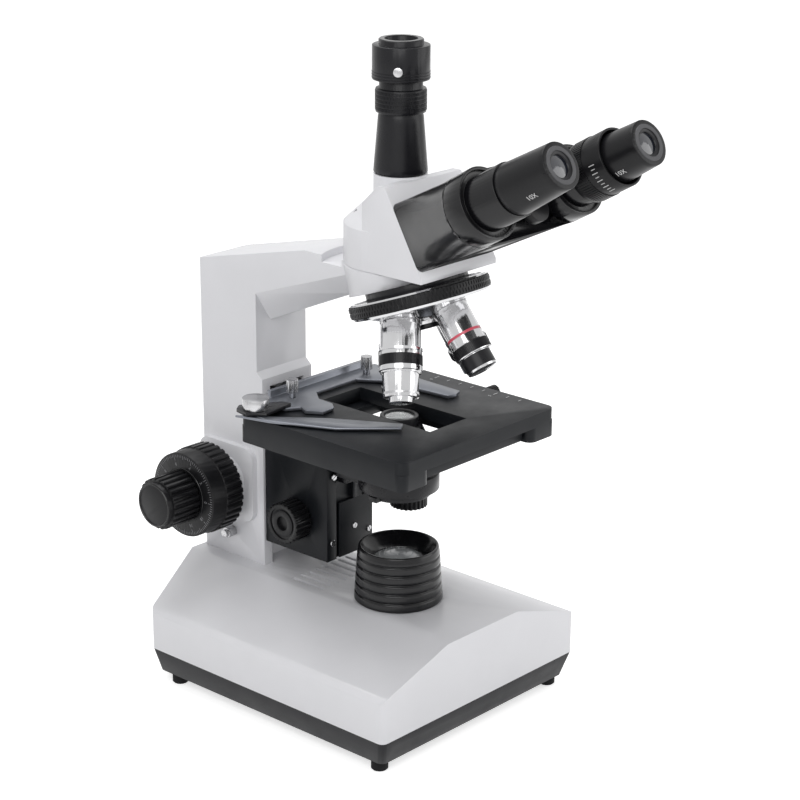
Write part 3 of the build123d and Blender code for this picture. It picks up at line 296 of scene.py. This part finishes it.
def studio():
    world = bpy.data.worlds.new("studio")
    bpy.context.scene.world = world
    world.use_nodes = True
    tree = world.node_tree
    back = tree.nodes["Background"]
    back.inputs["Color"].default_value = (1, 1, 1, 1)
    strength = tree.nodes.new("ShaderNodeMapRange")
    strength.inputs["To Min"].default_value = WORLD_FILL
    strength.inputs["To Max"].default_value = 1.0
    link(tree, seen_ray(tree), strength.inputs["Value"])
    link(tree, strength.outputs["Result"], back.inputs["Strength"])
    centre = at(0, 0, 180)
    area_light("key", at(-900, -500, 900), centre, LAMP_SIZE, KEY_POWER)
    area_light("fill", at(700, -1000, 500), centre, LAMP_SIZE, FILL_POWER)
    area_light("top", at(100, 300, 1300), centre, TOP_LAMP_SIZE, TOP_POWER)
    mesh = bmesh.new()
    bmesh.ops.create_grid(mesh, x_segments=8, y_segments=8, size=FLOOR_HALF)
    data = bpy.data.meshes.new("floor")
    mesh.to_mesh(data)
    mesh.free()
    floor = bpy.data.objects.new("floor", data)
    bpy.context.collection.objects.link(floor)
    floor.location.z = cad_box[0][2]
    material, tree, surface = shader("floor_paper")
    paper = tint(tree, noise(tree, 6), (0.86, 0.86, 0.86), (0.88, 0.88, 0.88))
    link(tree, paper, surface.inputs["Base Color"])
    surface.inputs["Roughness"].default_value = 0.6
    surface.inputs["Emission Color"].default_value = (1, 1, 1, 1)
    glow = tree.nodes.new("ShaderNodeMath")
    glow.operation = "MULTIPLY"
    link(tree, seen_ray(tree), glow.inputs[0])
    glow.inputs[1].default_value = FLOOR_GLOW
    link(tree, glow.outputs["Value"], surface.inputs["Emission Strength"])
    data.materials.append(material)


# Detail pieces
SHARP = math.radians(35)
SLEEVE_WALL = 0.6
TOOTH_SHARE = 0.6
TOOTH_ROOT = 0.4
SINGLE_ROW_SHARE = 0.92
ROW_SHARE = 0.72
MARK_HEIGHT = 0.12
MARK_LIFT = 0.02
LETTER_DEPTH = 0.06
SCREW_SLOT = 0.13           # half width of a screw's slot, as a share of its radius
SCREW_STEPS = 40


def frame_at(origin, direction, hint=(0, 0, 1)):
    """Matrix whose z axis is the given direction and whose y axis leans to the hint."""
    z = Vector(direction).normalized()
    y = Vector(hint) - z * Vector(hint).dot(z)
    if y.length < 1e-6:
        y = Vector((0, 1, 0)) - z * z.y
    y.normalize()
    x = y.cross(z)
    return Matrix(((x.x, y.x, z.x, origin[0]), (x.y, y.y, z.y, origin[1]),
                   (x.z, y.z, z.z, origin[2]), (0, 0, 0, 1)))


def finish_piece(name, mesh, body, material):
    bmesh.ops.recalc_face_normals(mesh, faces=mesh.faces)
    data = bpy.data.meshes.new(name)
    mesh.to_mesh(data)
    mesh.free()
    for polygon in data.polygons:
        polygon.use_smooth = True
    data.set_sharp_from_angle(angle=SHARP)
    piece = bpy.data.objects.new(name, data)
    bpy.context.collection.objects.link(piece)
    data.materials.append(material)
    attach(piece, body)
    return piece


def add_lathe(mesh, matrix, profile, steps=72):
    """Closed ring of the profile (radius, height in mm) turned about the local z axis."""
    rings = []
    for i in range(steps):
        angle = 2 * math.pi * i / steps
        rings.append([mesh.verts.new(matrix @ (Vector((r * math.cos(angle), r * math.sin(angle), h)) * MM))
                      for r, h in profile])
    for i in range(steps):
        near, far = rings[i], rings[(i + 1) % steps]
        for k in range(len(profile)):
            n = (k + 1) % len(profile)
            mesh.faces.new((near[k], far[k], far[n], near[n]))


def add_bar(mesh, matrix, size, shift=(0, 0, 0), turn=0.0):
    """Small bar of the given size in mm, turned about the local z axis, then shifted along its own axes."""
    spin = matrix @ Matrix.Rotation(turn, 4, "Z") @ Matrix.Translation(Vector(shift) * MM)
    corners = []
    for z in (-0.5, 0.5):
        for x, y in ((-0.5, -0.5), (0.5, -0.5), (0.5, 0.5), (-0.5, 0.5)):
            corner = Vector((x * size[0], y * size[1], z * size[2])) * MM
            corners.append(mesh.verts.new(spin @ corner))
    for face in ((0, 3, 2, 1), (4, 5, 6, 7), (0, 1, 5, 4), (1, 2, 6, 5), (2, 3, 7, 6), (3, 0, 4, 7)):
        mesh.faces.new([corners[i] for i in face])


def ring_piece(name, matrix, profile, body, material, steps=72):
    mesh = bmesh.new()
    add_lathe(mesh, matrix, profile, steps)
    return finish_piece(name, mesh, body, material)


def knurl_piece(name, matrix, radius, low, high, count, depth, body, material, rows=1):
    """Sleeve with raised teeth round it, in one row or several."""
    mesh = bmesh.new()
    inner = radius - SLEEVE_WALL
    add_lathe(mesh, matrix, [(inner, low), (radius, low), (radius, high), (inner, high)])
    width = 2 * math.pi * radius / count * TOOTH_SHARE
    pitch = (high - low) / rows
    length = pitch * (ROW_SHARE if rows > 1 else SINGLE_ROW_SHARE)
    for row in range(rows):
        middle = low + (row + 0.5) * pitch
        for i in range(count):
            angle = 2 * math.pi * (i + 0.5 * (row % 2)) / count
            add_bar(mesh, matrix, (depth + TOOTH_ROOT, width, length),
                    (radius + depth / 2 - TOOTH_ROOT / 2, 0, middle), angle)
    return finish_piece(name, mesh, body, material)


def ticks_piece(name, matrix, places, body, material):
    """Flat marks on a dial, each (turn, middle radius, length, width)."""
    mesh = bmesh.new()
    for turn, radius, length, width in places:
        add_bar(mesh, matrix, (length, width, MARK_HEIGHT), (radius, 0, MARK_LIFT), turn)
    return finish_piece(name, mesh, body, material)


def text_piece(name, words, matrix, height, body, material):
    curve = bpy.data.curves.new(name + "_line", "FONT")
    curve.body = words
    curve.size = height * MM
    curve.extrude = LETTER_DEPTH * MM
    curve.align_x = "CENTER"
    curve.align_y = "CENTER"
    curve.resolution_u = 3
    source = bpy.data.objects.new(name + "_line", curve)
    data = bpy.data.meshes.new_from_object(source)
    bpy.data.objects.remove(source)
    data.name = name
    data.transform(matrix)
    piece = bpy.data.objects.new(name, data)
    bpy.context.collection.objects.link(piece)
    data.materials.clear()
    data.materials.append(material)
    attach(piece, body)
    return piece


def screw_piece(name, place, direction, radius, body, turn):
    """Slotted head: a disc that carries one half on each side of the slot."""
    matrix = frame_at(place, direction)
    mesh = bmesh.new()
    steps = SCREW_STEPS
    slot_half = radius * SCREW_SLOT
    heights = ((0.0, 1.0), (0.55, 1.0), (0.80, 0.86))
    for side in (-1, 1):
        outline = []
        start = math.asin(slot_half / radius)
        for i in range(steps // 2 + 1):
            angle = start + (math.pi - 2 * start) * i / (steps // 2)
            outline.append((radius * math.cos(angle), side * radius * math.sin(angle)))
        loops = []
        for h, k in heights:
            spun = matrix @ Matrix.Rotation(turn, 4, "Z")
            edge = side * slot_half
            loops.append([mesh.verts.new(spun @ (Vector((x * k, edge + (y - edge) * k, h * radius * 0.5)) * MM))
                          for x, y in outline])
        count = len(outline)
        for lower, upper in zip(loops, loops[1:]):
            for i in range(count):
                n = (i + 1) % count
                mesh.faces.new((lower[i], lower[n], upper[n], upper[i]))
        mesh.faces.new(loops[0])
        mesh.faces.new(loops[-1])
    disc = radius * 0.97
    thick = radius * 0.12
    add_lathe(mesh, matrix, [(0.01, 0), (disc, 0), (disc, thick), (0.01, thick)], 32)
    return finish_piece(name, mesh, body, STEEL)


# Places of the solids that carry the details, in mm from the optical axis and the bench
TILT = math.radians(20.0)
TURRET_AXIS = Vector((0, math.sin(TILT), math.cos(TILT)))
APEX = at(0, 0, 298.0)          # where the turret's axis meets the optical axis
TURRET_DROP = 44.9              # turret ring below the apex, along the turret's axis
TURRET_R = 41.0
OBJECTIVE_SHOULDER = 60.5       # objective shoulder below the apex, along its own axis
INCLINE = math.radians(30.0)
TUBE_AXIS = Vector((0, -math.cos(INCLINE), math.sin(INCLINE)))
EYE_POINT = at(0, -143.7, 358.6)
HALF_IPD = 37.5
DIOPTER_R = 17.0
PORT_KNURL_R = 14.3
PORT_TOP = 401.6
FOCUS_Y = 123.0
FOCUS_Z = 115.7
COARSE_FACE = 59.6
FINE_FACE = 83.8
LENS_R = 15.0
LENS_CROWN = 4.0
UPRIGHT = frame_at(at(0, 0, 0), (0, 0, 1))


def objective_frame(turns):
    spin = math.radians(turns * 90)
    down = Vector((0, -math.sin(TILT) * math.cos(TILT), -math.cos(TILT) ** 2))
    across = Vector((math.sin(spin), math.cos(spin) * math.cos(TILT), -math.cos(spin) * math.sin(TILT)))
    direction = (down + across * math.sin(TILT)).normalized()
    return frame_at(APEX + direction * OBJECTIVE_SHOULDER * MM, direction, TURRET_AXIS)


def tube_point(side, back):
    return EYE_POINT + Vector((side * HALF_IPD * MM, 0, 0)) - TUBE_AXIS * back * MM


# Turret and objectives; heights run along each axis, away from the shoulder
TURRET_TEETH = 120
TURRET_STEPS = 120
LONG_BARREL_TEETH = 84
LONG_BARREL_R = 12.05
SHORT_BARREL_TEETH = 76
KNURL_DEPTH = 0.3


def dress_turret():
    ring = frame_at(APEX - TURRET_AXIS * TURRET_DROP * MM, TURRET_AXIS)
    upper = [(37.2, 4.05), (40.2, 4.05), (39.6, 5.0), (37.2, 5.0)]
    lower = [(36.5, -4.4), (39.8, -4.4), (40.4, -3.05), (36.5, -3.05)]
    ring_piece("turret_upper_rim", ring, upper, "nosepiece", CHROME, TURRET_STEPS)
    ring_piece("turret_lower_rim", ring, lower, "nosepiece", CHROME, TURRET_STEPS)
    knurl_piece("turret_knurl", ring, TURRET_R, -2.4, 3.4, TURRET_TEETH, 0.35, "nosepiece",
                BLACK_PLASTIC, rows=2)
    upper_collar = [(11.0, 13.6), (12.35, 13.9), (12.35, 15.3), (11.0, 15.6)]
    lower_collar = [(11.0, 24.4), (12.4, 24.6), (12.4, 26.6), (11.4, 27.2), (11.0, 27.2)]
    nose_ring = [(9.6, 38.6), (10.3, 38.8), (10.3, 40.0), (9.6, 40.2)]
    for turns, name in ((3, "objective_100x"), (0, "objective_40x")):
        place = objective_frame(turns)
        knurl_piece(name + "_knurl", place, LONG_BARREL_R, 17.6, 23.8, LONG_BARREL_TEETH, KNURL_DEPTH,
                    "nosepiece", BLACK_METAL)
        ring_piece(name + "_upper_collar", place, upper_collar, "nosepiece", CHROME)
        ring_piece(name + "_lower_collar", place, lower_collar, "nosepiece", CHROME)
        ring_piece(name + "_nose_ring", place, nose_ring, "nosepiece", STEEL)
    place = objective_frame(2)
    red_band = [(9.6, 14.6), (10.3, 14.7), (10.3, 16.1), (9.6, 16.2)]
    sleeve = [(8.4, 28.2), (9.1, 28.4), (9.1, 36.2), (8.4, 36.4)]
    ring_piece("objective_4x_red_band", place, red_band, "nosepiece", RED)
    knurl_piece("objective_4x_knurl", place, 10.85, 21.6, 27.4, SHORT_BARREL_TEETH, KNURL_DEPTH, "nosepiece",
                BLACK_METAL)
    ring_piece("objective_4x_sleeve", place, sleeve, "nosepiece", BLACK_METAL)
    place = objective_frame(1)
    band = [(10.8, 17.0), (11.45, 17.2), (11.45, 19.0), (10.8, 19.2)]
    ring_piece("objective_10x_band", place, band, "nosepiece", BLACK_METAL)
    knurl_piece("objective_10x_knurl", place, LONG_BARREL_R, 22.4, 27.6, LONG_BARREL_TEETH, KNURL_DEPTH,
                "nosepiece", BLACK_METAL)


# Head, eyepieces and photo port
POWER_BACK = 17                 # middle of the eyepiece's number, behind its face
POWER_R = 13.9
POWER_SIZE = 4.2
DIOPTER_STEP = 8                # degrees
DIOPTER_MIDDLE = -150
DIOPTER_MARK_Z = -28.5
PORT_GROOVES = 3
PORT_GROOVE_Z = 379.9
PORT_GROOVE_PITCH = 1.6


def dress_head():
    face_ring = [(8.0, 0.02), (10.6, 0.02), (10.3, 0.35), (8.2, 0.35)]
    lens_ring = [(6.2, -1.6), (8.0, -1.6), (8.0, -0.5), (6.6, -0.9)]
    out = Vector((-0.75, 0, 0)) + TUBE_AXIS.cross(Vector((1, 0, 0))) * -0.66
    out.normalize()
    around = TUBE_AXIS.cross(out)
    for side, tag in ((-1, "left"), (1, "right")):
        face = frame_at(tube_point(side, 0), TUBE_AXIS)
        body = tag + "_eyepiece"
        ring_piece(body + "_face_ring", face, face_ring, body, GREY_RING)
        ring_piece(body + "_lens_ring", face, lens_ring, body, BLACK_METAL)
        place = frame_at(tube_point(side, POWER_BACK) + out * POWER_R * MM, out, -around)
        text_piece(body + "_power", "10X", place, POWER_SIZE, body, INK)
    place = frame_at(tube_point(1, 0), TUBE_AXIS)
    knurl_piece("diopter_knurl", place, DIOPTER_R, -44.0, -34.0, 72, 0.4, "diopter",
                BLACK_PLASTIC)
    marks = bmesh.new()
    for i in range(-4, 5):
        angle = math.radians(DIOPTER_MIDDLE + i * DIOPTER_STEP)
        length = 2.6 if i % 2 else 4.0
        add_bar(marks, place, (0.2, 0.45, length), (DIOPTER_R + MARK_LIFT, 0, DIOPTER_MARK_Z), angle)
    finish_piece("diopter_marks", marks, "diopter", INK)
    knurl_piece("port_knurl", UPRIGHT, PORT_KNURL_R, 362.0, 373.6, 96, KNURL_DEPTH, "head",
                BLACK_METAL, rows=5)
    top = [(9.4, PORT_TOP + 0.02), (12.4, PORT_TOP + 0.02), (12.1, PORT_TOP + 0.3), (9.6, PORT_TOP + 0.3)]
    ring_piece("port_top_ring", UPRIGHT, top, "camera_adapter", GLOSS_BLACK)
    for i in range(PORT_GROOVES):
        z = PORT_GROOVE_Z + i * PORT_GROOVE_PITCH
        ring_piece(f"port_groove_{i}", UPRIGHT, [(16.0, z), (16.5, z + 0.2), (16.5, z + 0.8), (16.0, z + 1.0)],
                   "camera_adapter", BLACK_METAL)


# Focus dials
DIAL_DIVISIONS = 100
DIAL_RIM = 25.2
DIAL_MARK_WIDTH = 0.3
DIAL_NUMBERS = 10
NUMBER_R = 19.4
NUMBER_SIZE = 3.0


def dial_mark_length(i):
    if i % 10 == 0:
        return 3.4
    return 2.4 if i % 5 == 0 else 1.6


def dress_focus():
    for side, tag in ((-1, "left"), (1, "right")):
        face = frame_at(at(side * (COARSE_FACE + MARK_LIFT), FOCUS_Y, FOCUS_Z), (side, 0, 0))
        marks = []
        for i in range(DIAL_DIVISIONS):
            length = dial_mark_length(i)
            marks.append((2 * math.pi * i / DIAL_DIVISIONS, DIAL_RIM - length / 2, length, DIAL_MARK_WIDTH))
        ticks_piece(tag + "_dial_marks", face, marks, "coarse_focus", FAINT_INK)
        for i in range(DIAL_NUMBERS):
            spin = Matrix.Rotation(2 * math.pi * i / DIAL_NUMBERS, 4, "Z")
            place = face @ spin @ Matrix.Translation((NUMBER_R * MM, 0, 0))
            place = place @ Matrix.Rotation(-math.pi / 2, 4, "Z")
            text_piece(f"{tag}_dial_number_{i}", str(i * 2), place, NUMBER_SIZE, "coarse_focus",
                       FAINT_INK)
        groove = [(16.6, 0.0), (17.2, 0.0), (17.0, 0.3), (16.8, 0.3)]
        ring_piece(tag + "_dial_groove", face, groove, "coarse_focus", GLOSS_BLACK)
        cap = frame_at(at(side * (FINE_FACE + MARK_LIFT), FOCUS_Y, FOCUS_Z), (side, 0, 0))
        cap_ring = [(12.2, -0.1), (13.5, -0.1), (13.1, 0.35), (12.6, 0.35)]
        ring_piece(tag + "_fine_cap_ring", cap, cap_ring, "fine_focus", GLOSS_BLACK)


# Screws of the stage carrier, each (x, z)
GIB_SCREWS = ((-15.2, 136.6), (-16.3, 94.4))
PLATE_SCREWS = ((3.9, 100.0), (16.6, 94.4))


def front_of(node):
    return (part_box(node)[0].y - AXIS_Y) / MM - MARK_LIFT


def dress_carrier():
    for i, (x, z) in enumerate(GIB_SCREWS):
        place = at(x, front_of("stage_carrier"), z)
        screw_piece(f"gib_screw_{i}", place, (0, -1, 0), 2.1, "stage_carrier", 0.5 + i)
    for i, (x, z) in enumerate(PLATE_SCREWS):
        place = at(x, front_of("carrier_plate"), z)
        screw_piece(f"plate_screw_{i}", place, (0, -1, 0), 1.9, "stage_carrier", 1.1 + i)


# Graduation of the stage
STAGE_MARKS = 8
STAGE_MARK_PITCH = 9.3
STAGE_MARK_START = 25
STAGE_MARK_IN = 5.4
STAGE_NUMBER_IN = 10.6
STAGE_NUMBERED = 5


def dress_stage():
    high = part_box("stage_plate")[1]
    top = high.z / MM
    right = high.x / MM
    level = frame_at(at(0, 0, top + MARK_LIFT), (0, 0, 1), (0, 1, 0))
    marks = bmesh.new()
    for i in range(STAGE_MARKS):
        y = STAGE_MARK_START - i * STAGE_MARK_PITCH
        length = 4.2 if i % STAGE_NUMBERED == 0 else 2.8
        add_bar(marks, level, (length, 0.45, MARK_HEIGHT), (right - STAGE_MARK_IN, y, MARK_LIFT))
    finish_piece("stage_marks", marks, "stage_top", INK)
    for i in range(0, STAGE_MARKS, STAGE_NUMBERED):
        y = STAGE_MARK_START - i * STAGE_MARK_PITCH
        place = level @ Matrix.Translation(((right - STAGE_NUMBER_IN) * MM, y * MM, 0))
        text_piece(f"stage_number_{i}", str(i), place, NUMBER_SIZE, "stage_top", INK)


# Steps moulded in the lamp lens
LENS_STEPS = (5.0, 8.4, 11.4)


def dress_lamp():
    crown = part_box("collector_lens")[1].z / MM
    for i, radius in enumerate(LENS_STEPS):
        z = crown - LENS_CROWN * (radius / LENS_R) ** 2
        step = [(radius - 0.25, z - 0.25), (radius + 0.25, z - 0.25),
                (radius + 0.1, z + 0.12), (radius - 0.1, z + 0.12)]
        ring_piece(f"lens_step_{i}", UPRIGHT, step, "stand", GLASS)


make_camera()
studio()
dress_turret()
dress_head()
dress_focus()
dress_carrier()
dress_stage()
dress_lamp()
for part in frame["record"]["subparts"]:
    dress_node(part["node"], part["material_slot"])
    soften(part["node"])
bpy.context.scene.view_settings.view_transform = "Standard"
